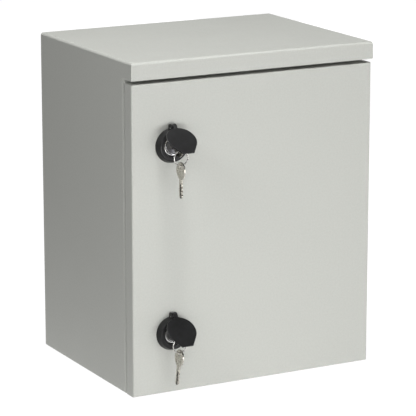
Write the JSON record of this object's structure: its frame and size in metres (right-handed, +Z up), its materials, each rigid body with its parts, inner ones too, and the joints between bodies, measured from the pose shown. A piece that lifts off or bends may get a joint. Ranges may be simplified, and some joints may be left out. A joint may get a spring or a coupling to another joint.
{
  "type": "wall enclosure",
  "caption": "Hooded steel wall enclosure with a flush hinged door, quarter-turn locks under flip-up dust covers, and a mounting plate inside.",
  "frame": {"origin": "centre of the back face, on the wall plane", "axes": "+Y into the wall, so the door faces -Y; +Z up; +X to the right as seen from the front"},
  "size_m": [0.3, 0.2716, 0.37],
  "materials": {
    "body_paint": "light grey textured powder coat on folded steel",
    "door_paint": "light grey textured powder coat on folded steel",
    "galvanised_plate": "galvanised steel sheet",
    "zinc_hardware": "bright zinc plate",
    "seal_foam": "foamed-in-place black polyurethane",
    "seal_rubber": "black rubber",
    "hinge_steel": "zinc-plated steel strip",
    "pin_steel": "plain ground steel",
    "black_plastic": "moulded black plastic with a fine grain",
    "lock_chrome": "polished chrome on die-cast zinc",
    "key_nickel": "nickel-plated brass, lightly worn",
    "ring_nickel": "bright nickel-plated spring wire"
  },
  "bodies": {
    "cabinet": {"body_wrap": "body_paint", "top_hood": "body_paint", "top_channel": "body_paint", "back_panel": "body_paint", "plate_studs": "zinc_hardware", "plate_spacers": "zinc_hardware", "mounting_plate": "galvanised_plate", "plate_washers": "zinc_hardware", "plate_nuts": "zinc_hardware", "gland_seal": "seal_foam", "gland_plate": "body_paint", "gland_studs": "zinc_hardware", "gland_nuts": "zinc_hardware", "body_earth_stud": "zinc_hardware", "hinge_leaf_upper": "hinge_steel", "hinge_leaf_lower": "hinge_steel", "hinge_rivets": "zinc_hardware"},
    "door": {"door_pan": "door_paint", "door_seal": "seal_foam", "door_earth_stud": "zinc_hardware", "hinge_bracket_upper": "hinge_steel", "hinge_pin_upper": "pin_steel", "lock_housing_upper": "black_plastic", "lock_seal_upper": "seal_rubber", "lock_nut_upper": "zinc_hardware", "cover_pin_upper": "pin_steel", "hinge_bracket_lower": "hinge_steel", "hinge_pin_lower": "pin_steel", "lock_housing_lower": "black_plastic", "lock_seal_lower": "seal_rubber", "lock_nut_lower": "zinc_hardware", "cover_pin_lower": "pin_steel"},
    "upper_lock": {"lock_rotor_upper": "lock_chrome", "lock_cam_upper": "zinc_hardware", "cam_screw_upper": "zinc_hardware", "key_upper": "key_nickel"},
    "upper_cover": {"dust_cover_upper": "black_plastic"},
    "upper_ring": {"key_ring_upper": "ring_nickel"},
    "upper_spare": {"spare_key_upper": "key_nickel"},
    "lower_lock": {"lock_rotor_lower": "lock_chrome", "lock_cam_lower": "zinc_hardware", "cam_screw_lower": "zinc_hardware", "key_lower": "key_nickel"},
    "lower_cover": {"dust_cover_lower": "black_plastic"},
    "lower_ring": {"key_ring_lower": "ring_nickel"},
    "lower_spare": {"spare_key_lower": "key_nickel"}
  },
  "joints": [
    {"name": "door_hinge", "type": "hinge", "parent": "cabinet", "child": "door", "pos_m": [0.141, -0.222, -0.0113], "axis": [0, 0, 1], "range_deg": [0, 120]},
    {"name": "upper_lock_turn", "type": "hinge", "parent": "door", "child": "upper_lock", "pos_m": [-0.103, -0.23, 0.0922], "axis": [0, 1, 0], "range_deg": [0, 90]},
    {"name": "upper_cover_flip", "type": "hinge", "parent": "door", "child": "upper_cover", "pos_m": [-0.103, -0.2343, 0.1121], "axis": [-1, 0, 0], "range_deg": [0, 60]},
    {"name": "upper_ring_swing", "type": "hinge", "parent": "upper_lock", "child": "upper_ring", "pos_m": [-0.103, -0.253, 0.0922], "axis": [-1, 0, 0], "range_deg": [-6, 15]},
    {"name": "upper_spare_swing", "type": "hinge", "parent": "upper_ring", "child": "upper_spare", "pos_m": [-0.103, -0.253, 0.0732], "axis": [-1, 0, 0], "range_deg": [-8, 10]},
    {"name": "lower_lock_turn", "type": "hinge", "parent": "door", "child": "lower_lock", "pos_m": [-0.103, -0.23, -0.1167], "axis": [0, 1, 0], "range_deg": [0, 90]},
    {"name": "lower_cover_flip", "type": "hinge", "parent": "door", "child": "lower_cover", "pos_m": [-0.103, -0.2343, -0.0968], "axis": [-1, 0, 0], "range_deg": [0, 60]},
    {"name": "lower_ring_swing", "type": "hinge", "parent": "lower_lock", "child": "lower_ring", "pos_m": [-0.103, -0.2491, -0.1167], "axis": [-1, 0, 0], "range_deg": [-6, 15]},
    {"name": "lower_spare_swing", "type": "hinge", "parent": "lower_ring", "child": "lower_spare", "pos_m": [-0.103, -0.2491, -0.1357], "axis": [-1, 0, 0], "range_deg": [-8, 10]}
  ]
}
